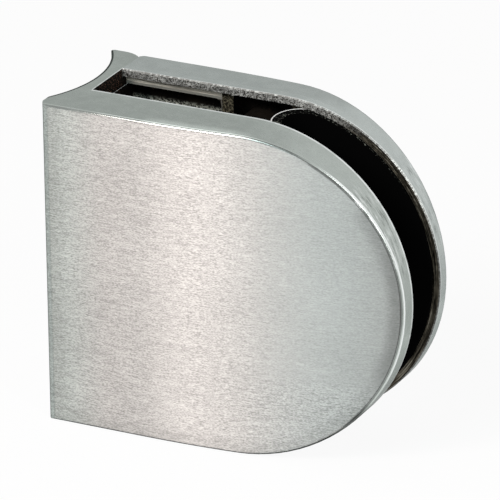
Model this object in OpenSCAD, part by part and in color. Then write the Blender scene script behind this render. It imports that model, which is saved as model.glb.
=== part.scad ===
// Glass panel clamp with a half-round nose, for a round post.
//
// Frame: the origin is on the post's surface, where the axis of the post bolt meets it.
// +X runs from the post to the nose, in the plane of the glass. +Y runs from the front
// shell to the rear cover. +Z is up, along the post. Sizes are in millimetres.

/* [Clamp] */
// Height of the clamp along the post, which is also the diameter of the nose
clamp_h = 55; // [54:0.5:60]
// Reach from the post's surface to the tip of the nose
reach = 58.5; // [57:0.5:64]
// Width of the slot between the two shells
slot_w = 10; // [9.5:0.1:12]
// Thickness of the front shell beside the post
front_t = 9.1; // [8.6:0.1:12]
// Thickness of the rear cover beside the post
rear_t = 7.1; // [6.8:0.1:9]

/* [Outer faces] */
// Distance from the post's surface at which both outer faces start to curve in
bow_start = 14.5; // [10:0.5:20]
// How much thinner the front shell is at the tip of the nose
front_drop = 5.6; // [3:0.1:5.8]
// How much thinner the rear cover is at the tip of the nose
rear_drop = 4.3; // [2:0.1:4.5]
// Radius of the rounded edge around the front face
front_edge_r = 0.5; // [0.4:0.1:1.2]
// Radius of the rounded edge around the rear face
rear_edge_r = 0.6; // [0.4:0.1:1]
// Bevel along the edges of the slot
slot_bevel = 0.2; // [0.1:0.05:0.3]

/* [Post seat] */
// Diameter of the round post
post_d = 42.4; // [40:0.1:48.3]
// How far the front shell reaches past the post's nearest surface
front_lip = 3; // [2:0.1:3.5]
// Radius of the rounded lip where the front shell ends beside the post
lip_r = 1.6; // [1:0.1:2]
// Thickness of the web between the post and the slot
web_t = 2; // [2:0.1:3]
// Radius of the hole for the M8 post bolt
bolt_hole_r = 4.5; // [4.2:0.1:5]
// Radius of the boss around that hole
bolt_boss_r = 8; // [7.5:0.1:9]
// Height of that boss above the web
bolt_boss_h = 3.5; // [2:0.1:4]
// Radius of the rear corner of the horn, beside the joint with the cover
horn_corner_r = 4.5; // [3.5:0.1:5]
// Radius of the rear corner of the cover, beside the same joint
cover_corner_r = 2.5; // [2:0.1:3]

/* [Inside of the shells] */
// Width of the flat rim around the inside of each shell
rim_w = 1.25; // [1.15:0.05:1.5]
// Depth of the step that holds the gasket and runs on around the bolt chamber
step_d = 1.2; // [0.8:0.1:1.4]
// Width of the ledge that the step leaves around the bolt chamber
ledge_w = 1.6; // [1:0.1:2]
// Thickness of the floor of the front shell's chambers
front_floor_t = 3.1; // [2.5:0.1:4]
// Thickness of the floor of the rear cover's chambers
rear_floor_t = 2.6; // [2.4:0.1:3]
// Distance from the post's surface to the rib between the two chambers
rib_x = 19.3; // [19:0.1:20]
// Thickness of that rib
rib_t = 2.1; // [1.2:0.1:2.2]
// Radius of the corners of the chambers
chamber_corner_r = 1.2; // [0.8:0.1:2]

/* [Gasket] */
// Distance from the post's surface to the round back of the gasket
gasket_x = 31.8; // [31.7:0.1:34]
// Thickness of the gasket
gasket_t = 1.7; // [1.5:0.1:2.2]

/* [Cover screws] */
// Distance from the post's surface to the two screws
screw_x = 26.7; // [26.5:0.1:27]
// Height of each screw above or below the middle
screw_z = 18.5; // [17:0.1:18.5]
// Radius of the M6 shank
screw_r = 3; // [3:0.5:3]
// Radius of the countersunk head
head_r = 6; // [5.8:0.1:6]
// Height of the cylindrical edge of the head
head_edge_h = 0.4; // [0.3:0.1:0.5]
// Length of the screw with its head
screw_l = 16; // [14:1:16]
// Width across the flats of the hexagon socket
socket_af = 4; // [4:0.5:4]
// Depth of the hexagon socket
socket_d = 2.5; // [2:0.1:2.5]
// Radius of the threaded bosses in the front shell
screw_boss_r = 4.8; // [4.6:0.1:5]
// Radius of the bosses that face them, inside the cover
cover_boss_r = 5.3; // [5.2:0.1:5.8]

/* [Hidden] */

past = 1;              // how far a cutter runs past the face that it opens
running_gap = 0.05;    // between a screw and its hole, and between parts that close on each other
passing_gap = 0.3;     // between a shank and the plain hole in the cover
gasket_end_gap = 0.1;  // between the ends of the gasket and the rims
gasket_back_gap = 0.7; // between the gasket's round back and the shoulder of its step
web_recess = 0.4;      // how much thinner the web is between its upper and lower rim
horn_tip_r = 0.5;      // rounding of the horn where it ends beside the post
hole_spare = 1.5;      // depth of a threaded hole past the end of its screw
hole_bevel = 0.6;      // bevel at the mouth of a threaded hole
thread_step = 0.25;    // bevel at the end of a shank, about half a thread's depth
head_sink = 0.9;       // keeps a flat head just under the curved rear face

half_h = clamp_h / 2;
nose_x = reach - half_h;                     // centre of the half-round nose
rim_h = half_h - rim_w;                      // half height inside the rims
face_y = slot_w / 2;                         // inner faces of both shells
front_y = face_y + front_t;                  // the front face is at -front_y
rear_y = face_y + rear_t;
front_floor_y = front_y - front_floor_t;     // the front shell's chambers end at -front_floor_y
rear_floor_y = rear_y - rear_floor_t;
joint_x = web_t + running_gap;               // end of the cover, against the web
post_x = -post_d / 2;                        // axis of the post
lip_x = lip_r - front_lip;                   // axis of the rounding of the lip
lip_y = -sqrt(pow(post_d / 2 + lip_r, 2) - pow(lip_x - post_x, 2));
boss_x = web_t + bolt_boss_h;                // inner end of the bolt boss
rib_end_x = rib_x + rib_t;
recess_x = gasket_x - gasket_back_gap;       // shoulder of the step that holds the gasket
gasket_half_w = face_y + step_d - running_gap;
gasket_round_x = gasket_x + gasket_half_w;   // axis of the gasket's round back
head_h = head_edge_h + head_r - screw_r;     // a 90 degree cone under the edge
head_top_y = rear_y - head_sink;
cone_top_y = head_top_y - head_edge_h;
screw_end_y = head_top_y - screw_l;

metal = [0.70, 0.71, 0.69];
screw_metal = [0.62, 0.62, 0.60];
black_rubber = [0.06, 0.06, 0.06];

// Radius of a face that starts flat and has curved in by drop at the tip of the nose
function bow_r(drop) = (pow(reach - bow_start, 2) + pow(drop, 2)) / (2 * drop);

// An outline in X and Z, made solid from y0 to y1
module slab(y0, y1) {
    translate([0, y1, 0]) rotate([90, 0, 0]) linear_extrude(y1 - y0) children();
}

// A plan in X and Y, made solid over the whole height
module full_height(extra = 0) {
    linear_extrude(clamp_h + 2 * extra, center = true) children();
}

module both_screws() {
    for (side = [-1, 1]) translate([screw_x, 0, side * screw_z]) children();
}

// A cylinder along Y from y0 to y1
module y_cylinder(r1, r2, y0, y1) {
    translate([0, y0, 0]) rotate([-90, 0, 0]) cylinder(r1 = r1, r2 = r2, h = y1 - y0, $fn = 64);
}

// The outline of the clamp from x0 to the nose, drawn in by inset
module nose_outline(x0, inset = 0) {
    translate([x0 + inset, inset - half_h]) square([nose_x - x0 - inset, 2 * (half_h - inset)]);
    translate([nose_x, 0]) circle(half_h - inset, $fn = 96);
}

// Seen from above, all that lies inside a bowed face, which starts at y and is drawn in by inset
module bow_plan(y, drop, inset) {
    start_x = -2 * front_lip;
    translate([start_x, 0]) square([bow_start - start_x, y - inset]);
    intersection() {
        translate([bow_start, y - bow_r(drop)]) circle(bow_r(drop) - inset, $fn = 480);
        translate([bow_start, 0]) square([reach, y]);
    }
}

// The solid form of a shell on the +Y side: bowed outside, with a rounded edge all round
module shell_form(x0, y, drop, edge_r) {
    hull() for (turn = [0 : 22.5 : 90]) intersection() {
        slab(face_y + (turn < 40 ? slot_bevel : 0), y) nose_outline(x0, edge_r * (1 - cos(turn)));
        full_height() bow_plan(y, drop, edge_r * (1 - sin(turn)));
    }
}

// A chamber's outline from x0 to x1, with rounded corners
module chamber_outline(x0, x1, half_z) {
    r = chamber_corner_r;
    translate([x0 + r, -half_z]) square([x1 - x0 - 2 * r, 2 * half_z]);
    translate([x0, r - half_z]) square([x1 - x0, 2 * (half_z - r)]);
    for (x = [x0 + r, x1 - r], z = [r - half_z, half_z - r]) translate([x, z]) circle(r, $fn = 24);
}

// What is cut out of the inside of a shell on the +Y side, down to floor_y
module shell_chambers(x0, floor_y) {
    slab(face_y - past, face_y + step_d) {
        chamber_outline(x0, rib_end_x + past, rim_h);
        nose_outline(recess_x - rim_w, rim_w);
    }
    slab(face_y - past, floor_y) {
        chamber_outline(x0, rib_x, rim_h - ledge_w);
        chamber_outline(rib_end_x, recess_x + past, rim_h);
    }
}

// What is cut from the front shell to round its lip, on the post's side and on the front
module lip_cut_plan() {
    flat_end_y = lip_r - front_y;
    tangent_y = lip_y * post_d / (post_d + 2 * lip_r);
    start_x = -front_lip - past;
    start_y = -front_y - past;
    difference() {
        translate([start_x, start_y]) square([lip_x - start_x, tangent_y - start_y]);
        for (y = [lip_y, flat_end_y]) translate([lip_x, y]) circle(lip_r, $fn = 64);
        translate([lip_x - lip_r, flat_end_y]) square([2 * lip_r, lip_y - flat_end_y]);
    }
}

// The web and the horn from above: a block between the post and the joint
module web_plan() {
    tip_y = rear_y - horn_tip_r;
    tip_x = post_x + sqrt(pow(post_d / 2 + horn_tip_r, 2) - pow(tip_y, 2));
    corner_x = web_t - 0.7 * horn_corner_r;
    corner_y = rear_y - horn_corner_r;
    start_y = -face_y - past;
    difference() {
        translate([tip_x, start_y]) square([corner_x - tip_x, rear_y - start_y]);
        translate([post_x, 0]) circle(post_d / 2, $fn = 180);
    }
    translate([corner_x, start_y]) square([web_t - corner_x, corner_y - start_y]);
    intersection() {
        translate([corner_x, corner_y]) circle(horn_corner_r, $fn = 96);
        translate([corner_x, 0]) square([web_t - corner_x, rear_y]);
    }
    translate([tip_x, tip_y]) circle(horn_tip_r, $fn = 32);
}

// Front shell, web, horn and bosses are one casting
module clamp_body() {
    hole_r = screw_r + running_gap;
    color(metal) difference() {
        union() {
            difference() {
                union() {
                    mirror([0, 1, 0]) shell_form(-front_lip, front_y, front_drop, front_edge_r);
                    full_height() web_plan();
                }
                mirror([0, 1, 0]) shell_chambers(web_t - web_recess, front_floor_y);
                slab(-face_y - past, rear_floor_y)
                    chamber_outline(web_t - web_recess, rib_x, rim_h - ledge_w);
                full_height(past) lip_cut_plan();
            }
            rotate([0, 90, 0]) cylinder(r = bolt_boss_r, h = boss_x, $fn = 64);
            both_screws()
                y_cylinder(screw_boss_r, screw_boss_r, -front_floor_y - past, face_y - running_gap);
            boss_ribs();
        }
        full_height(past) translate([post_x, 0]) circle(post_d / 2, $fn = 180);
        translate([-past, 0, 0]) rotate([0, 90, 0])
            cylinder(r = bolt_hole_r, h = boss_x + 2 * past, $fn = 64);
        both_screws() {
            y_cylinder(hole_r, hole_r, screw_end_y - hole_spare, face_y);
            y_cylinder(screw_r, screw_r + hole_bevel, face_y - hole_bevel, face_y);
        }
    }
}

// Low ribs that tie each threaded boss to the rim above or below it
module boss_ribs() {
    rib_h = rim_h - screw_z;
    for (side = [-1, 1]) translate([screw_x, 0, side * (screw_z + rib_h / 2)])
        translate([-rib_t / 2, -front_floor_y - past, -rib_h / 2])
            cube([rib_t, front_floor_y + past - face_y - step_d, rib_h]);
}

// The cover closes the rear of the clamp, up to the web
module rear_cover() {
    hole_r = screw_r + passing_gap;
    sink_r = head_r + running_gap;
    color(metal) difference() {
        union() {
            difference() {
                shell_form(joint_x, rear_y, rear_drop, rear_edge_r);
                shell_chambers(joint_x - past - chamber_corner_r, rear_floor_y);
            }
            both_screws() y_cylinder(cover_boss_r, cover_boss_r, face_y, rear_floor_y + past);
        }
        cover_corner();
        both_screws() {
            y_cylinder(hole_r, hole_r, face_y - past, rear_y);
            translate([0, running_gap, 0])
                y_cylinder(screw_r + running_gap, sink_r, head_top_y - head_h, cone_top_y);
            y_cylinder(sink_r, sink_r, cone_top_y, rear_y + past);
        }
    }
}

// What is cut from the cover's rear corner to round it, beside the joint
module cover_corner() {
    corner_x = joint_x + 0.8 * cover_corner_r;
    corner_y = rear_y - cover_corner_r;
    full_height(past) difference() {
        translate([joint_x - past, corner_y]) square([corner_x - joint_x + past, cover_corner_r + past]);
        translate([corner_x, corner_y]) circle(cover_corner_r, $fn = 96);
    }
}

// One U-shaped strip of rubber, bent round the edge of the glass
module glass_gasket() {
    color(black_rubber) intersection() {
        full_height() difference() {
            gasket_plan(gasket_half_w);
            gasket_plan(gasket_half_w - gasket_t);
        }
        slab(-gasket_half_w - past, gasket_half_w + past)
            nose_outline(gasket_x - 2 * rim_w, rim_w + gasket_end_gap);
    }
}

module gasket_plan(half_w) {
    translate([gasket_round_x, 0]) circle(half_w, $fn = 96);
    translate([gasket_round_x, -half_w]) square([reach, 2 * half_w]);
}

// A countersunk socket screw along +Y, with its head towards the rear
module cover_screw() {
    difference() {
        union() {
            y_cylinder(head_r, head_r, cone_top_y, head_top_y);
            y_cylinder(screw_r, head_r, head_top_y - head_h, cone_top_y);
            y_cylinder(screw_r, screw_r, screw_end_y + thread_step, cone_top_y);
            y_cylinder(screw_r - thread_step, screw_r, screw_end_y, screw_end_y + thread_step);
        }
        translate([0, head_top_y - socket_d, 0]) rotate([-90, 0, 0])
            cylinder(r = socket_af / sqrt(3), h = socket_d + past, $fn = 6);
    }
}

module upper_cover_screw() {
    color(screw_metal) translate([screw_x, 0, screw_z]) cover_screw();
}

module lower_cover_screw() {
    color(screw_metal) translate([screw_x, 0, -screw_z]) cover_screw();
}

clamp_body();
rear_cover();
glass_gasket();
upper_cover_screw();
lower_cover_screw();
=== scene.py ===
"""Glass panel clamp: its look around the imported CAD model.

Lengths are in mm until MM turns them into metres.
"""

import math

import bmesh
import bpy
from mathutils import Matrix, Vector

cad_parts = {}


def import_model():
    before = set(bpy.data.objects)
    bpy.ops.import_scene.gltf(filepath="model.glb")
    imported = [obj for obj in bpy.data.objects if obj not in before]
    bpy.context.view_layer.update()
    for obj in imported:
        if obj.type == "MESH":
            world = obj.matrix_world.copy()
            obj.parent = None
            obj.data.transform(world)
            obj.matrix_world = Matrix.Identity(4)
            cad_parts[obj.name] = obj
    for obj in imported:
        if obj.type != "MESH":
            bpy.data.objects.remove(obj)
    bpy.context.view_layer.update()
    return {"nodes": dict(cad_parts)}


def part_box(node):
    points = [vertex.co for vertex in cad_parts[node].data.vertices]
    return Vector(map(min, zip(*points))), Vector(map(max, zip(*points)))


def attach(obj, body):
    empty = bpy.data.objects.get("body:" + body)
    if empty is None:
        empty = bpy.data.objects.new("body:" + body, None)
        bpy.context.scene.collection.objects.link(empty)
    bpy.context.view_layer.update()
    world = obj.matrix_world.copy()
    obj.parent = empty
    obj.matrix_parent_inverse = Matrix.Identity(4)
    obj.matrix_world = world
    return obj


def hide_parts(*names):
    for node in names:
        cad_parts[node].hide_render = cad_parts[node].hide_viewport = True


MM = 0.001

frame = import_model()

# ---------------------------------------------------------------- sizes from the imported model
body_lo, body_hi = (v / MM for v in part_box("clamp_body"))
cover_lo, _ = (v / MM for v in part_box("rear_cover"))
gasket_lo, gasket_hi = (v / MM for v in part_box("glass_gasket"))
HALF_H = body_hi.z
NOSE_X = body_hi.x - HALF_H             # centre of the half-round nose
FRONT_Y = -body_lo.y
JOINT_X = cover_lo.x                    # where the cover's end faces the web
GASKET_HALF_W = gasket_hi.y
GASKET_ROUND_X = gasket_lo.x + GASKET_HALF_W

# ---------------------------------------------------------------- sizes as in the part's source
POST_R = 21.2                           # the concave seat
BOW_X = 14.5                            # where the front face starts to curve in
BOW_R = 175.66                          # and the radius of that curve
WEB_T = 2.0                             # the web behind the seat ends at this x
FACE_Y = 5.0                            # inner faces of both shells
SLOT_BEVEL = 0.2
RIM_W = 1.25                            # the rim, the step behind it and the ledge under it
STEP_D = 1.2
LEDGE_W = 1.6
EDGE_R = 0.5                            # rounding around the front face
RIB_X = 19.3
RIB_T = 2.1
GASKET_T = 1.7
SCREW_X = 26.7
SCREW_Z = 18.5

# ---------------------------------------------------------------- stretches of the outline
# Start, end and soft edge of each, in mm along the outline from the post, over the top and round the nose.
# They place painted highlights and painted shade, and the scuffs on the rims.
# The brushed faces:
FACE_TOP_EDGE = (14.0, 36.0, 4.0)
FACE_NOSE_EDGE = (46.0, 94.0, 4.0)
FACE_NOSE_TURN = (58.0, 84.0, 6.0)
# The satin rims:
RIM_CREST = (10.0, 33.0, 5.0)
RIM_PAINTED_LIGHT = (19.0, 30.0, 6.0)
RIM_FACE_LINE = (44.0, 94.0, 5.0)
RIM_TURN_HIGHLIGHT = (50.0, 84.0, 5.0)
RIM_SCUFFS = (55.0, 66.0, 5.0)
RIM_LOW_HIGHLIGHT = (80.0, 89.0, 5.0)


# ---------------------------------------------------------------- node helpers
class Nodes:
    """A short way to build a node tree."""

    def __init__(self, tree):
        self.tree = tree
        tree.nodes.clear()

    def add(self, kind, inputs=None, **settings):
        node = self.tree.nodes.new(kind)
        for name, value in settings.items():
            setattr(node, name, value)
        for name, value in (inputs or {}).items():
            self.put(node, name, value)
        return node

    def put(self, node, name, value):
        socket = node.inputs[name]
        if isinstance(value, bpy.types.NodeSocket):
            self.tree.links.new(value, socket)
        else:
            socket.default_value = value

    def math(self, operation, a, b=0.0):
        return self.add("ShaderNodeMath", {0: a, 1: b}, operation=operation).outputs[0]

    def total(self, *values):
        result = values[0]
        for value in values[1:]:
            result = self.math("ADD", result, value)
        return result

    def product(self, *values):
        result = values[0]
        for value in values[1:]:
            result = self.math("MULTIPLY", result, value)
        return result

    def length(self, a, b):
        return self.math("SQRT", self.total(self.product(a, a), self.product(b, b)))

    def ramp(self, value, low, high, out_low=0.0, out_high=1.0, smooth=True):
        node = self.add(
            "ShaderNodeMapRange",
            {"Value": value, "From Min": low, "From Max": high, "To Min": out_low, "To Max": out_high},
            interpolation_type="SMOOTHSTEP" if smooth else "LINEAR",
        )
        return node.outputs["Result"]

    def fade(self, value, low, high):
        """1 below low, 0 above high."""
        return self.ramp(value, low, high, 1.0, 0.0)

    def within(self, value, low, high, soft):
        """1 between low and high, 0 outside, with soft edges."""
        return self.product(self.ramp(value, low - soft, low), self.fade(value, high, high + soft))

    def where(self, mask, factor):
        """What to multiply a shade by: 1 where the mask is 0, and factor where it is 1."""
        return self.ramp(mask, 0.0, 1.0, 1.0, factor)

    def either(self, a, b):
        return self.math("MAXIMUM", a, b)

    def less(self, a, b):
        return self.math("SUBTRACT", a, b)

    def size_of(self, value):
        return self.math("ABSOLUTE", value)

    def mix(self, factor, a, b):
        node = self.add("ShaderNodeMix", data_type="RGBA")
        self.put(node, 0, factor)
        for index, value in ((6, a), (7, b)):
            self.put(node, index, (*value, 1.0) if isinstance(value, tuple) else value)
        return node.outputs[2]

    def noise(self, vector, scale, detail=2.0, roughness=0.5, distortion=0.0):
        """Noise with its own scale, or one scale per axis, in features per mm."""
        if isinstance(scale, tuple):
            vector = self.add("ShaderNodeMapping", {"Vector": vector, "Scale": scale}).outputs[0]
            scale = 1.0
        node = self.add(
            "ShaderNodeTexNoise",
            {"Vector": vector, "Scale": scale, "Detail": detail, "Roughness": roughness,
             "Distortion": distortion},
        )
        return node.outputs["Fac"]

    def combine(self, x, y, z=0.0):
        return self.add("ShaderNodeCombineXYZ", {0: x, 1: y, 2: z}).outputs[0]

    def scaled(self, vector, factor):
        return self.add("ShaderNodeVectorMath", {0: vector, "Scale": factor}, operation="SCALE").outputs[0]

    def place(self, seed=0.0):
        """A point of the piece in mm: moved by seed for patterns, and its true x, y and z."""
        here = self.scaled(self.add("ShaderNodeTexCoord").outputs["Object"], 1 / MM)
        x, y, z = self.add("ShaderNodeSeparateXYZ", {0: here}).outputs
        shift = (seed, seed * 0.7, seed * 0.3)
        moved = self.add("ShaderNodeVectorMath", {0: here, 1: shift}, operation="ADD")
        return moved.outputs[0], x, y, z

    def normal(self):
        """The surface's direction, as its X, Y and Z."""
        direction = self.add("ShaderNodeTexCoord").outputs["Normal"]
        return self.add("ShaderNodeSeparateXYZ", {0: direction}).outputs

    def along_outline(self, x, z):
        """How far along the clamp's outline a point lies, from the post over the top, and how far inside."""
        from_nose = self.less(x, NOSE_X)
        past = self.math("MAXIMUM", from_nose, 0.0)
        before = self.math("MINIMUM", from_nose, 0.0)
        straight = self.product(before, self.math("SIGN", z))
        turn = self.product(self.math("ARCTAN2", past, z), HALF_H)
        return self.total(NOSE_X, straight, turn), self.less(HALF_H, self.length(past, z))

    def behind_front(self, x, y):
        """How far a point of the front shell lies behind the curved front face."""
        past = self.math("MAXIMUM", self.less(x, BOW_X), 0.0)
        face = self.less(self.product(past, past, 0.5 / BOW_R), FRONT_Y)
        return self.less(y, face)

    def bump(self, height, distance, strength):
        """A bumped normal, distance being in metres."""
        inputs = {"Height": height, "Distance": distance, "Strength": strength}
        return self.add("ShaderNodeBump", inputs).outputs[0]

    def surface(self, **values):
        """A Principled shader, its sockets named with _ for spaces, as the material's surface."""
        inputs = {name.replace("_", " "): value for name, value in values.items()}
        shader = self.add("ShaderNodeBsdfPrincipled", inputs)
        out = self.add("ShaderNodeOutputMaterial")
        self.tree.links.new(shader.outputs[0], out.inputs[0])


def new_material(name):
    material = bpy.data.materials.new(name)
    material.use_nodes = True
    return material, Nodes(material.node_tree)


# ---------------------------------------------------------------- materials
EDGE_TINT = (0.35, 0.36, 0.355, 1.0)    # keeps metal dark where it turns away from the eye


def brushed_metal(name, tint, seed):
    """The front and rear faces: a dry linear brush along X, with dashes and a few longer scratches."""
    material, n = new_material(name)
    point, x, _, z = n.place(seed)
    along, inside = n.along_outline(x, z)
    normal = n.normal()

    # the brush, weaker towards the nose but not along the bottom
    fine = n.noise(point, (0.7, 0.7, 6.6), 3.0, 0.65)
    dash = n.noise(point, (2.7, 2.7, 7.4), 1.0, 0.5)
    long = n.noise(point, (0.10, 0.10, 1.6), 2.0, 0.55)
    streak = n.total(n.product(fine, 0.44), n.product(dash, 0.48), n.product(long, 0.08))
    scratch = n.ramp(n.noise(point, (0.15, 0.15, 3.6), 1.0, 0.4, 0.1), 0.69, 0.74)
    strength = n.either(n.ramp(x, 27.0, 42.0, 1.0, 0.4), n.fade(z, -17.0, -9.0))
    shade = n.product(n.ramp(streak, 0.36, 0.64, -0.39, 0.39, False), strength)
    shade = n.total(shade, n.product(scratch, 0.12), 1.0)

    # painted shade: darker beside the edge at the nose and at the lower right, and beside the post, with a
    # painted dark line along the edge at the nose
    near_edge = n.fade(inside, EDGE_R, 4.0)
    slant = n.less(z, n.product(n.less(x, NOSE_X), 0.6))
    low = n.fade(slant, -15.0, 10.0)
    edge_shade = n.either(n.product(low, near_edge), n.fade(x, -2.0, 3.0))
    nose_shade = n.product(n.within(along, *FACE_NOSE_TURN), near_edge)
    edge_shade_line = n.product(n.fade(inside, EDGE_R + 0.05, EDGE_R + 0.25), n.within(along, *FACE_NOSE_EDGE))

    # a painted highlight on the rounded lip beside the post, and painted shade on the top edge's rounding
    turned = n.product(n.ramp(normal["X"], -0.72, -0.60), n.fade(normal["X"], -0.20, 0.02))
    top_edge_shade = n.product(n.ramp(normal["Z"], 0.04, 0.16), n.within(along, *FACE_TOP_EDGE))
    cloud = n.noise(point, (0.055, 0.055, 0.09))
    shade = n.product(shade, n.ramp(cloud, 0.3, 0.7, 0.97, 1.03), n.where(edge_shade_line, 0.42),
                      n.where(edge_shade, 0.86), n.where(nose_shade, 0.78), n.where(turned, 1.6),
                      n.where(top_edge_shade, 0.45))
    height = n.total(streak, n.product(scratch, 0.4))
    # a cooler tint at the left end, painted to offset the warm key lamp's light there
    painted_cool_tint = (tint[0] * 0.93, tint[1] * 1.01, tint[2])
    n.surface(
        Base_Color=n.scaled(n.mix(n.fade(x, 0.0, 9.0), tint, painted_cool_tint), shade),
        Metallic=1.0,
        Anisotropic=1.0,
        Specular_Tint=EDGE_TINT,
        Roughness=n.ramp(streak, 0.35, 0.65, 0.46, 0.41, False),
        Normal=n.bump(height, 0.000008, 0.5),
        Tangent=n.combine(0.0, 0.0, 1.0),
    )
    return material


def satin_metal(name, tint, seed):
    """The rims, the post seat and the rounded edges: even satin, scuffed at the nose, with painted
    highlights and painted shade along the edges and round the nose, and rubbed wear along the slot's edges
    that is partly a painted highlight.
    """
    material, n = new_material(name)
    point, x, y, z = n.place(seed)
    normal = n.normal()
    facing = n.size_of(normal["Y"])
    along, inside = n.along_outline(x, z)
    depth = n.size_of(y)
    front = n.fade(y, -FACE_Y, FACE_Y)
    on_edge = n.fade(inside, EDGE_R, EDGE_R + 0.1)
    outer = n.product(n.ramp(depth, FACE_Y + 1.5, FACE_Y + 2.0), on_edge)
    grain = n.noise(point, 3.2, 2.0, 0.6)
    soft = n.noise(point, 0.42, 3.0, 0.6)
    shade = n.product(n.ramp(grain, 0.3, 0.7, 0.965, 1.035), n.ramp(soft, 0.3, 0.7, 0.965, 1.035))

    # painted shade: a dark line beside the post
    from_post = n.less(n.length(n.total(x, POST_R), y), POST_R)
    post_shade_line = n.product(n.fade(from_post, 0.26, 0.38), n.fade(inside, 0.1, 0.25))

    # the rounding around the front and rear faces, from the rim (facing 0) to the face (facing 1): painted
    # shade in dark lines on both sides of a painted highlight between them, and painted shade that tones
    # down the lamps' highlight on its face side
    turn_shade_line = n.product(n.within(facing, 0.02, 0.10, 0.03), outer, n.fade(along, 38.0, 44.0))
    crest_highlight = n.product(n.within(facing, 0.10, 0.34, 0.06), outer, n.within(along, *RIM_CREST))
    glint_shade = n.product(n.ramp(facing, 0.36, 0.50), outer, n.ramp(along, 32.0, 40.0, 0.9, 1.3),
                      n.fade(along, 40.0, 46.0))
    face_shade_line = n.product(n.ramp(facing, 0.74, 0.82), outer, n.within(along, *RIM_FACE_LINE))

    # painted shade on the cover's rounding, on faces turned downward and on the rims below the nose, and a
    # painted highlight on the rims low on the nose
    back_shade = n.product(n.ramp(facing, 0.10, 0.35), n.ramp(y, FACE_Y, FACE_Y + 1.5),
                     n.ramp(x, WEB_T, WEB_T + 1.0))
    downward_shade = n.product(n.fade(normal["Z"], -0.45, -0.15), n.ramp(facing, 0.15, 0.3),
                      n.ramp(along, 96.0, 102.0))
    low_rim_shade = n.product(n.ramp(along, 90.0, 96.0), on_edge)
    shade = n.product(shade, n.where(post_shade_line, 0.22), n.where(turn_shade_line, 0.78), n.where(face_shade_line, 0.45),
                      n.ramp(glint_shade, 0.0, 1.6, 1.0, 0.18, False), n.where(crest_highlight, 1.5), n.where(back_shade, 0.6),
                      n.where(low_rim_shade, 0.3), n.where(downward_shade, 0.5),
                      n.where(n.within(along, *RIM_LOW_HIGHLIGHT), 1.3))

    # painted light: a lighter rim towards the front, over the start of the nose
    behind = n.behind_front(x, y)
    rim_light = n.product(n.fade(behind, 0.4, 3.2), n.within(along, *RIM_PAINTED_LIGHT))
    shade = n.product(shade, n.where(rim_light, 1.4))

    # a bright line along the slot's edges, wider on the front shell, and along the web's edge: partly wear,
    # partly a painted highlight
    rim_point = n.combine(along, y, seed)
    uneven = n.ramp(n.noise(rim_point, (0.5, 0.5, 1.0), 3.0, 0.6), 0.30, 0.5, 0.35, 1.0)
    from_slot = n.less(depth, n.product(front, 0.22))
    slot_edge = n.fade(from_slot, FACE_Y + SLOT_BEVEL + 0.14, FACE_Y + SLOT_BEVEL + 0.24)
    slot_edge = n.product(slot_edge, n.ramp(x, WEB_T - 0.2, WEB_T))
    web_edge = n.product(n.within(x, WEB_T - 0.16, WEB_T + 0.1, 0.1), n.fade(depth, FACE_Y, FACE_Y + 0.1))
    wear_and_highlight = n.product(n.either(slot_edge, web_edge), uneven, n.ramp(inside, 0.4, 0.2))

    # scuffs and dull patches at the nose, and a painted highlight on the front rounding round the nose
    rubbed = n.noise(rim_point, (0.30, 1.6, 1.0), 4.0, 0.68)
    near_nose = n.product(n.within(along, *RIM_SCUFFS), on_edge)
    scuffs = n.product(n.ramp(rubbed, 0.50, 0.64), near_nose,
                       n.ramp(depth, FACE_Y + 1, FACE_Y + 5, 0.25, 1.0))
    dull = n.product(n.fade(rubbed, 0.34, 0.48), near_nose)
    turn_highlight = n.product(n.within(facing, 0.20, 0.52, 0.10), outer, front, n.within(along, *RIM_TURN_HIGHLIGHT))
    bright = n.either(n.product(wear_and_highlight, 0.85), n.either(n.product(scuffs, 0.85), turn_highlight))
    shade = n.product(shade, n.where(dull, 0.62))
    n.surface(
        Base_Color=n.mix(bright, n.scaled(tint, shade), (0.82, 0.85, 0.84)),
        Metallic=1.0,
        Specular_Tint=EDGE_TINT,
        Roughness=n.ramp(soft, 0.3, 0.7, 0.24, 0.29),
        Normal=n.bump(grain, 0.000006, 0.4),
    )
    return material


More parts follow.
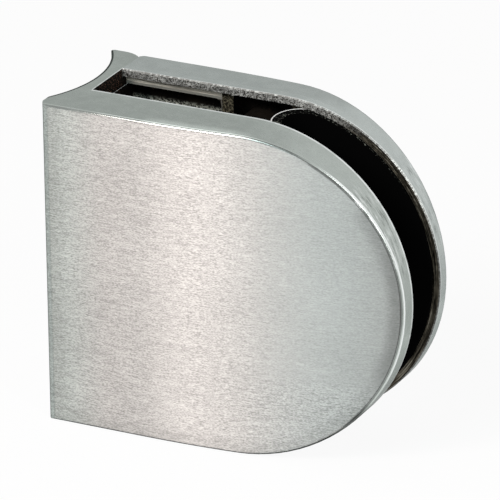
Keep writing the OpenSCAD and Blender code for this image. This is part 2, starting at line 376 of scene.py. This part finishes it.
def cast_metal(name, seed):
    """Bare rough casting: speckled on the faces beside the slot, with painted shade making it dark and dull
    deeper in, and painted light on the ledge against the step and on the chamber floor.
    """
    material, n = new_material(name)
    point, x, y, z = n.place(seed)
    along, inside = n.along_outline(x, z)
    depth = n.less(n.size_of(y), FACE_Y)
    height = n.size_of(z)
    grain = n.noise(point, 3.0, 3.0, 0.7)
    pits = n.noise(point, 1.3, 2.0, 0.55)
    patch = n.noise(point, 0.26, 3.0, 0.6)
    salt = n.noise(point, 4.6, 2.0, 0.6)

    # the face beside the slot: speckled over the chamber, streaked brown round the nose
    speckle = n.mix(n.ramp(salt, 0.38, 0.58), (0.07, 0.067, 0.058), (0.68, 0.69, 0.66))
    streak = n.noise(n.combine(n.product(along, 0.22), n.product(inside, 4.6), seed), 1.0, 3.0, 0.62)
    brown = n.mix(n.ramp(streak, 0.38, 0.56), (0.010, 0.009, 0.007), (0.14, 0.127, 0.097))
    brown = n.mix(n.ramp(streak, 0.58, 0.68, 0.0, 0.8), brown, (0.45, 0.43, 0.36))
    face = n.mix(n.ramp(n.total(along, n.product(patch, 8.0)), 42.0, 51.0), speckle, brown)

    # the ledge under the step: drawn streaks, a lighter lip, and painted light against the step, where the
    # step casts its shadow
    drawn = n.noise(n.combine(n.product(along, 0.12), n.product(inside, 2.2), seed), 1.0, 2.0, 0.5)
    ledge = n.mix(n.ramp(drawn, 0.35, 0.65), (0.065, 0.062, 0.053), (0.15, 0.145, 0.125))
    lip = n.within(inside, RIM_W + LEDGE_W - 0.35, RIM_W + LEDGE_W, 0.1)
    ledge = n.mix(n.product(lip, 0.6), ledge, (0.30, 0.30, 0.27))
    ledge = n.scaled(ledge, n.ramp(inside, RIM_W + 1.1, RIM_W + 1.25, 6.0, 1.0))
    # darker and mottled on the rib and beyond it: brown casting with painted shade
    mottled = n.mix(n.ramp(salt, 0.44, 0.60), (0.005, 0.004, 0.003), (0.11, 0.10, 0.068))
    ledge = n.mix(n.ramp(x, RIB_X, RIB_X + 0.2), ledge, mottled)

    # painted shade deeper in: nearly black, with reddish specks on the web; painted light on the chamber
    # floor, pale and speckled only below where the ledge's shadow ends
    spark = n.product(n.ramp(grain, 0.60, 0.70), n.ramp(pits, 0.52, 0.62), 0.8)
    deep = n.mix(n.ramp(patch, 0.35, 0.7), (0.003, 0.003, 0.003), (0.010, 0.008, 0.006))
    deep = n.mix(spark, deep, (0.16, 0.10, 0.07))
    web_side = n.product(n.fade(x, WEB_T + 0.1, WEB_T + 0.3), n.ramp(salt, 0.59, 0.67),
                         n.fade(depth, -0.1, 0.0), n.ramp(height, 18.0, 22.0, 0.3, 1.0))
    deep = n.mix(web_side, deep, (0.42, 0.24, 0.17))
    painted_floor_light = n.product(n.ramp(depth, 4.0, 4.3), n.fade(x, RIB_X - 0.3, RIB_X),
                              n.fade(height, 21.0, 22.0))
    floor_speckle = n.mix(n.ramp(grain, 0.42, 0.6), (0.02, 0.02, 0.018), (0.54, 0.56, 0.48))
    deep = n.mix(painted_floor_light, deep, floor_speckle)

    # where each of them lies
    band = n.product(n.within(depth, -0.04, 0.14, 0.05), n.fade(inside, RIM_W + 0.1, RIM_W + 0.3))
    near_ledge = n.fade(inside, RIM_W + LEDGE_W + 0.1, RIM_W + LEDGE_W + 0.3)
    on_rib = n.within(x, RIB_X - 0.1, RIB_X + RIB_T + 0.1, 0.05)
    shelf = n.product(n.either(near_ledge, on_rib), n.within(depth, STEP_D - 0.1, STEP_D + 0.1, 0.08),
                      n.ramp(x, WEB_T, WEB_T + 0.2))
    n.surface(
        Base_Color=n.mix(band, n.mix(shelf, deep, ledge), face),
        Metallic=band,
        Specular_IOR_Level=0.05,
        Roughness=n.ramp(pits, 0.3, 0.7, 0.42, 0.62),
        Normal=n.bump(n.total(n.product(grain, 0.5), pits), 0.00010, 0.8),
    )
    return material


def wear_and_highlight_metal(name, seed):
    """Sharp edges inside the slot, rubbed bright in places, partly wear and partly painted highlight, darker
    round the nose, and a painted highlight in near white on the web.
    """
    material, n = new_material(name)
    _, x, y, z = n.place()
    along, _ = n.along_outline(x, z)
    patch = n.noise(n.combine(along, n.product(y, 0.2), seed), 3.4, 3.0, 0.7)
    colour = n.mix(n.ramp(patch, 0.46, 0.62), (0.17, 0.17, 0.16), (0.46, 0.48, 0.46))
    colour = n.scaled(colour, n.ramp(along, 62.0, 72.0, 1.0, 0.4))
    on_web = n.fade(x, WEB_T + 0.1, WEB_T + 0.3)
    web_colour = n.mix(n.ramp(patch, 0.3, 0.5), (0.5, 0.5, 0.48), (0.95, 0.95, 0.93))
    n.surface(
        Base_Color=n.mix(on_web, colour, web_colour),
        Metallic=n.where(on_web, 0.0),
        Roughness=0.35,
    )
    return material


def rubber(name):
    """Jet black rubber, dusty and speckled on its cut ends, with a painted highlight along their outer edge.
    """
    material, n = new_material(name)
    point, x, y, z = n.place()
    cut_end = n.ramp(n.size_of(n.normal()["Z"]), 0.5, 0.9)
    before_leaves = n.math("MINIMUM", n.less(x, GASKET_ROUND_X), 0.0)
    from_edge = n.less(GASKET_HALF_W, n.length(before_leaves, y))
    grain = n.noise(point, 2.6, 3.0, 0.65)
    dust = n.product(cut_end, n.ramp(grain, 0.56, 0.68), n.ramp(from_edge, 0.4, GASKET_T, 0.35, 1.0))
    edge_highlight = n.product(cut_end, n.fade(from_edge, 0.16, 0.26), n.ramp(grain, 0.3, 0.5, 0.5, 1.0))
    colour = n.mix(dust, (0.0015, 0.0015, 0.0015), (0.20, 0.21, 0.18))
    n.surface(
        Base_Color=n.mix(edge_highlight, colour, (0.85, 0.86, 0.84)),
        Roughness=0.9,
        Specular_IOR_Level=0.01,
        Normal=n.bump(grain, 0.00003, 0.5),
    )
    return material


def screw_steel(name):
    """Turned stainless steel with fine rings and a few handling marks."""
    material, n = new_material(name)
    point, x, _, z = n.place()
    across = n.less(x, SCREW_X)
    above = n.less(n.size_of(z), SCREW_Z)
    rings = n.noise(n.combine(n.length(across, above), 0.0), 6.0, 2.0, 0.6)
    marks = n.noise(point, 0.9, 3.0, 0.6)
    colour = n.mix(n.ramp(rings, 0.3, 0.7), (0.31, 0.31, 0.30), (0.43, 0.43, 0.415))
    n.surface(
        Base_Color=n.mix(n.ramp(marks, 0.62, 0.75, 0.0, 0.5), colour, (0.20, 0.20, 0.19)),
        Metallic=1.0,
        Specular_Tint=EDGE_TINT,
        Roughness=n.ramp(marks, 0.3, 0.7, 0.22, 0.34),
        Normal=n.bump(n.total(rings, n.product(marks, 0.5)), 0.00001, 0.5),
    )
    return material


# ---------------------------------------------------------------- pieces made from the CAD forms
# a casting's materials, in the order of its list
BRUSHED, SATIN, CAST, WEAR_HIGHLIGHT = range(4)

# casting meshes
SEAM = 2e-6                             # vertices this close, in metres, are one
FLAT_DEG = 0.12                         # faces that turn less than this are one
RUB_W = 0.16                            # width of the rubbed bevels
RUB_DEG = 40.0                          # edges sharper than this are rubbed
JOINT_GAP = 0.004                       # what the joint is drawn at, so that it shows as a hairline
ON_JOINT = 0.005                        # vertices this close to the cover's end are on it
# edges sharper than this many degrees stay sharp in the shading
CASTING_CREASE, GASKET_CREASE, SCREW_CREASE = 28, 35, 25


def clean_copy(node):
    """The CAD node's mesh with its seams merged and its flat faces whole."""
    work = bmesh.new()
    work.from_mesh(frame["nodes"][node].data)
    bmesh.ops.remove_doubles(work, verts=work.verts, dist=SEAM)
    bmesh.ops.dissolve_limit(work, angle_limit=math.radians(FLAT_DEG), verts=work.verts, edges=work.edges)
    return work


def piece_from(work, name, body, slot, materials, crease, *replaced):
    """A visible piece that rides its body, in place of the CAD nodes it replaces."""
    mesh = bpy.data.meshes.new(name)
    for f in work.faces:
        f.smooth = True
    work.to_mesh(mesh)
    work.free()
    for material in materials:
        mesh.materials.append(material)
    mesh.set_sharp_from_angle(angle=math.radians(crease))
    piece = bpy.data.objects.new(name, mesh)
    bpy.context.scene.collection.objects.link(piece)
    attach(piece, body)
    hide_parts(*replaced)
    return piece


def outline_distance(x, z):
    """How far inside the clamp's outline a point lies."""
    return HALF_H - math.hypot(max(x - NOSE_X, 0.0), z)


def finish_of(face):
    """Which of a casting's materials a face has, from where it lies and how it is turned."""
    c = face.calc_center_median() / MM
    n = face.normal
    outward = n.y * math.copysign(1.0, c.y)
    outer_shell = abs(c.y) > FACE_Y + 2
    on_outline = outline_distance(c.x, c.z) < EDGE_R
    on_lip = c.x < 0 and c.y < -FACE_Y - 2 and abs(n.z) < 0.3
    square_on = abs(n.y) >= 0.98
    slot_bevel = abs(c.y) < FACE_Y + SLOT_BEVEL and abs(n.y) > 0.3 and c.x > WEB_T
    if outer_shell and (outward > 0.94 or on_lip and outward > 0.05):
        return BRUSHED
    if on_outline and slot_bevel and not square_on:
        return WEAR_HIGHLIGHT
    if on_outline and not square_on:
        return SATIN
    if outer_shell and outward > 0.1:
        return SATIN
    if c.x < WEB_T - 0.8 and n.x < -0.1:
        return SATIN
    return CAST


def edge_of_rib(middle):
    return abs(middle.x - RIB_X - RIB_T) < 0.1 and abs(middle.y - FACE_Y - STEP_D) < 0.1


def edge_of_web(middle):
    below_rim = 0 < HALF_H - RIM_W - LEDGE_W - abs(middle.z) < 0.5
    return abs(middle.x - WEB_T) < 0.05 and below_rim and abs(middle.y) < FACE_Y


def edge_of_slot(middle):
    near_rim = outline_distance(middle.x, middle.z) < RIM_W + LEDGE_W + 0.3
    return near_rim and middle.x > WEB_T + 0.2 and FACE_Y - 0.1 < middle.y < FACE_Y + STEP_D + 0.1


def rubbed(edge):
    """Whether hands and glass rub this edge."""
    if len(edge.link_faces) != 2 or not edge.is_convex:
        return False
    if edge.calc_face_angle(0.0) < math.radians(RUB_DEG):
        return False
    if any(f.material_index != CAST for f in edge.link_faces):
        return False
    middle = (edge.verts[0].co + edge.verts[1].co) / 2 / MM
    return edge_of_slot(middle) or edge_of_rib(middle) or edge_of_web(middle)


def rub_edges(work):
    """A small real bevel on the rubbed edges."""
    edges = [e for e in work.edges if rubbed(e)]
    bmesh.ops.bevel(work, geom=edges, offset=RUB_W * MM, segments=1, affect="EDGES", material=WEAR_HIGHLIGHT,
                    clamp_overlap=True)


def casting(name, node, body, slot, finishes, close_joint=False):
    work = clean_copy(node)
    for f in work.faces:
        f.material_index = finish_of(f)
    rub_edges(work)
    if close_joint:
        for v in work.verts:
            if abs(v.co.x / MM - JOINT_X) < ON_JOINT:
                v.co.x = (WEB_T + JOINT_GAP) * MM
    piece = piece_from(work, name, body, slot, finishes, CASTING_CREASE, node)
    weigh = piece.modifiers.new("weigh", "WEIGHTED_NORMAL")
    weigh.keep_sharp = True
    weigh.weight = 100


FACE_TINT = (0.365, 0.365, 0.35)
BODY_RIM_TINT = (0.43, 0.465, 0.44)
COVER_RIM_TINT = (0.475, 0.51, 0.495)

wear_and_highlight = wear_and_highlight_metal("worn_edge_highlight", 2.2)
body_finishes = [
    brushed_metal("brushed_body", FACE_TINT, 3.1),
    satin_metal("satin_body", BODY_RIM_TINT, 3.9),
    cast_metal("cast_body", 1.7),
    wear_and_highlight,
]
cover_finishes = [
    brushed_metal("brushed_cover", FACE_TINT, 8.4),
    satin_metal("satin_cover", COVER_RIM_TINT, 9.2),
    cast_metal("cast_cover", 5.2),
    wear_and_highlight,
]
casting("body_casting", "clamp_body", "clamp", "body_metal", body_finishes)
casting("cover_casting", "rear_cover", "cover", "cover_metal", cover_finishes, close_joint=True)
piece_from(clean_copy("glass_gasket"), "gasket_strip", "clamp", "gasket_rubber", [rubber("gasket_black")],
           GASKET_CREASE, "glass_gasket")

# ---------------------------------------------------------------- the cover screws
# M6 with 1 mm pitch, a 90 degree countersunk head and a 4 mm hexagon socket
PITCH = 1.0
ROOT_R = 2.387
CREST_R = 2.97
SHANK_R = 3.0
HEAD_R = 6.0
HEX_AF = 4.0
HEX_DEEP = 2.5
SCREW_TIP_Y = -4.8
THREAD_START_Y = SCREW_TIP_Y + 0.15
THREAD_END_Y = 7.2
CONE_Y = 7.8
HEAD_TOP_Y = 11.2
SKIN = 0.02                             # how far the drawn head stays off the CAD's faces
AROUND = 48                             # corners of each ring
# the thread's profile: how far along the pitch each of its corners lies, and at what radius
PROFILE = ((0.0, ROOT_R), (0.25, ROOT_R), (0.5625, CREST_R), (0.6875, CREST_R))
CORNERS = len(PROFILE)
RUN = 0.8                               # mm that the thread grows out of the core per mm at both ends
SCREW_SEAM = 1e-6                       # vertices this close, in metres, are one
TURNED = [2 * math.pi * k / AROUND for k in range(AROUND)]


def hex_radius(theta):
    """Distance from the screw's axis to the side of its socket, which has corners at +X and -X."""
    sixth = math.pi / 3
    return HEX_AF / 2 / math.cos((theta - math.pi / 2) % sixth - sixth / 2)


def point_of(work, theta, radius, y, middle_z):
    x = SCREW_X + radius * math.sin(theta)
    z = middle_z + radius * math.cos(theta)
    return work.verts.new((x * MM, y * MM, z * MM))


def ring(work, middle_z, y, radius):
    """A ring of points round the screw's axis; radius is a number or depends on the angle."""
    radii = [radius(t) if callable(radius) else radius for t in TURNED]
    return [point_of(work, t, r, y, middle_z) for t, r in zip(TURNED, radii)]


def join(work, a, b):
    for k in range(AROUND):
        following = (k + 1) % AROUND
        work.faces.new((a[k], b[k], b[following], a[following]))


def thread_point(i, theta):
    """Height and radius of corner i of the profile at an angle, held between the thread's two ends."""
    place, radius = PROFILE[i % CORNERS]
    y = THREAD_START_Y + PITCH * (i // CORNERS + place - 1) + PITCH * theta / (2 * math.pi)
    run_in = max(ROOT_R - 0.1 + (y - THREAD_START_Y) * RUN, ROOT_R - 0.1)
    run_out = max(ROOT_R + (THREAD_END_Y - y) * RUN, ROOT_R)
    return min(max(y, THREAD_START_Y), THREAD_END_Y), min(radius, run_in, run_out)


def thread(work, middle_z):
    """A right-hand helix: after one turn each row goes on in the row of the next pitch."""
    rows = []
    for i in range(-CORNERS, CORNERS * int((THREAD_END_Y - THREAD_START_Y) / PITCH) + 2 * CORNERS + 1):
        row = []
        for theta in TURNED:
            y, radius = thread_point(i, theta)
            row.append(point_of(work, theta, radius, y, middle_z))
        rows.append(row)
    for i in range(len(rows) - 1):
        for k in range(AROUND - 1):
            work.faces.new((rows[i][k], rows[i + 1][k], rows[i + 1][k + 1], rows[i][k + 1]))
        if i + CORNERS + 1 < len(rows):
            last = AROUND - 1
            on_a, on_b = rows[i + CORNERS][0], rows[i + CORNERS + 1][0]
            work.faces.new((rows[i][last], rows[i + 1][last], on_b, on_a))


def screw(name, node, body, middle_z):
    """An M6 countersunk socket screw with its real thread, lathed ring by ring along Y."""
    work = bmesh.new()
    tip = ring(work, middle_z, SCREW_TIP_Y, ROOT_R - 0.25)
    work.faces.new(tip)
    join(work, tip, ring(work, middle_z, THREAD_START_Y, ROOT_R - 0.1))
    thread(work, middle_z)
    socket_floor_y = HEAD_TOP_Y - HEX_DEEP + SKIN
    outline = (
        (THREAD_END_Y, ROOT_R),
        (CONE_Y - 0.25, ROOT_R + 0.25),
        (CONE_Y, SHANK_R - SKIN),
        (CONE_Y + HEAD_R - SHANK_R, HEAD_R - SKIN),
        (HEAD_TOP_Y - 0.18, HEAD_R - SKIN),
        (HEAD_TOP_Y - 0.06, HEAD_R - 0.08),
        (HEAD_TOP_Y, HEAD_R - 0.22),
        (HEAD_TOP_Y, HEX_AF / math.sqrt(3) + 0.35),
        (HEAD_TOP_Y - 0.30, hex_radius),
        (socket_floor_y, hex_radius),
        (socket_floor_y, HEX_AF / 2 - 0.15),
    )
    rings = [ring(work, middle_z, y, radius) for y, radius in outline]
    for a, b in zip(rings, rings[1:]):
        join(work, a, b)
    work.faces.new(rings[-1])
    bmesh.ops.remove_doubles(work, verts=work.verts, dist=SCREW_SEAM)
    bmesh.ops.dissolve_degenerate(work, edges=work.edges, dist=SCREW_SEAM)
    bmesh.ops.recalc_face_normals(work, faces=work.faces)
    piece_from(work, name, body, "screw_steel", [steel], SCREW_CREASE, node)


steel = screw_steel("screw_turned")
for which, side in (("upper", 1), ("lower", -1)):
    screw(which + "_screw_steel", which + "_cover_screw", which + "_screw", side * SCREW_Z)


# ---------------------------------------------------------------- studio
WHITE = (1, 1, 1, 1)
SKY_SEEN = 1.0                          # the world's strength as the camera and reflections see it
SKY_LIGHT = 0.3                         # and as it lights the clamp
FLOOR_HALF = 1.6                        # metres
FLOOR_GAP = 0.05                        # between the clamp's lower edge and the floor
FLOOR_PAINT = (0.9, 0.9, 0.9, 1)
FLOOR_GLOW = 0.93                       # share of the floor that glows white; the rest takes the shadow
SHADOW_FROM, SHADOW_TO = 120.0, 600.0   # the shadow fades out between these distances
LIT_POINT = Vector((27.0, -12.0, 0.0))  # what the lamps face


def blend_surface(n, output, share, a, b):
    """The share of b, mixed over a, as the tree's surface."""
    both = n.add("ShaderNodeMixShader", {0: share, 1: a.outputs[0], 2: b.outputs[0]})
    out = n.add(output)
    n.tree.links.new(both.outputs[0], out.inputs[0])


def world():
    w = bpy.data.worlds.new("studio")
    bpy.context.scene.world = w
    w.use_nodes = True
    n = Nodes(w.node_tree)
    path = n.add("ShaderNodeLightPath").outputs
    seen = n.total(path["Is Camera Ray"], path["Is Glossy Ray"], path["Is Transmission Ray"])
    seen = n.math("MINIMUM", seen, 1.0)
    white = n.add("ShaderNodeBackground", {"Color": WHITE, "Strength": SKY_SEEN})
    dim = n.add("ShaderNodeBackground", {"Color": WHITE, "Strength": SKY_LIGHT})
    blend_surface(n, "ShaderNodeOutputWorld", seen, dim, white)


def floor():
    mesh = bpy.data.meshes.new("floor")
    z = (body_lo.z - FLOOR_GAP) * MM
    corners = ((-1, -1), (1, -1), (1, 1), (-1, 1))
    mesh.from_pydata([(x * FLOOR_HALF, y * FLOOR_HALF, z) for x, y in corners], [], [(0, 1, 2, 3)])
    obj = bpy.data.objects.new("floor", mesh)
    bpy.context.scene.collection.objects.link(obj)
    material, n = new_material("floor_pale")
    _, x, y, _ = n.place()
    far = n.ramp(n.length(x, y), SHADOW_FROM, SHADOW_TO)
    glossy = n.either(n.add("ShaderNodeLightPath").outputs["Is Glossy Ray"], far)
    share = n.ramp(glossy, 0.0, 1.0, FLOOR_GLOW, 1.0, False)
    glow = n.add("ShaderNodeEmission", {"Color": WHITE, "Strength": 1.0})
    pale = n.add("ShaderNodeBsdfDiffuse", {"Color": FLOOR_PAINT})
    blend_surface(n, "ShaderNodeOutputMaterial", share, pale, glow)
    mesh.materials.append(material)


def softbox(name, turn, rise, distance, width, height, radiance, colour):
    """A lamp that faces the clamp, turn degrees to the left of its front and rise degrees up.

    Its distance, width and height are in mm.
    """
    a, e = math.radians(turn), math.radians(rise)
    toward = Vector((-math.sin(a) * math.cos(e), -math.cos(a) * math.cos(e), math.sin(e)))
    data = bpy.data.lights.new(name, "AREA")
    data.shape = "RECTANGLE"
    data.size = width * MM
    data.size_y = height * MM
    data.energy = 4 * math.pi * radiance * width * height * MM * MM
    data.color = colour
    obj = bpy.data.objects.new(name, data)
    bpy.context.scene.collection.objects.link(obj)
    obj.location = (LIT_POINT + toward * distance) * MM
    obj.rotation_euler = (-toward).to_track_quat("-Z", "Y").to_euler()


def camera():
    """The photograph's view: azimuth, elevation and roll in degrees, distance in mm."""
    azimuth, elevation, roll = (math.radians(a) for a in (26.630, 22.843, -0.683))
    distance = 975.33
    focal_per_frame = 6071.0 / 500.0    # focal length over the width of the picture
    sensor = 36.0
    target = Vector((26.91, 0.567, 1.873))
    ahead = Vector((-math.sin(azimuth) * math.cos(elevation), math.cos(azimuth) * math.cos(elevation),
                    -math.sin(elevation)))
    right = Vector((math.cos(azimuth), math.sin(azimuth), 0))
    up = right.cross(ahead)
    rolled_right = right * math.cos(roll) + up * math.sin(roll)
    rolled_up = up * math.cos(roll) - right * math.sin(roll)
    data = bpy.data.cameras.new("camera")
    data.sensor_width = sensor
    data.lens = focal_per_frame * sensor
    data.clip_start = 0.05
    data.clip_end = 20
    obj = bpy.data.objects.new("camera", data)
    bpy.context.scene.collection.objects.link(obj)
    axes = Matrix((rolled_right, rolled_up, -ahead)).transposed()
    obj.matrix_world = Matrix.Translation((target - ahead * distance) * MM) @ axes.to_4x4()
    bpy.context.scene.camera = obj


world()
floor()
camera()
softbox("broad", turn=6.0, rise=42.0, distance=700.0, width=147.0, height=272.0, radiance=2.25,
        colour=(0.78, 0.97, 1.0))
softbox("key", turn=27.0, rise=42.0, distance=700.0, width=155.0, height=272.0, radiance=5.85,
        colour=(1.0, 0.885, 0.865))
softbox("side", turn=-56.0, rise=22.0, distance=400.0, width=40.0, height=260.0, radiance=3.0,
        colour=(1.0, 1.0, 1.0))

bpy.context.scene.view_settings.view_transform = "Standard"
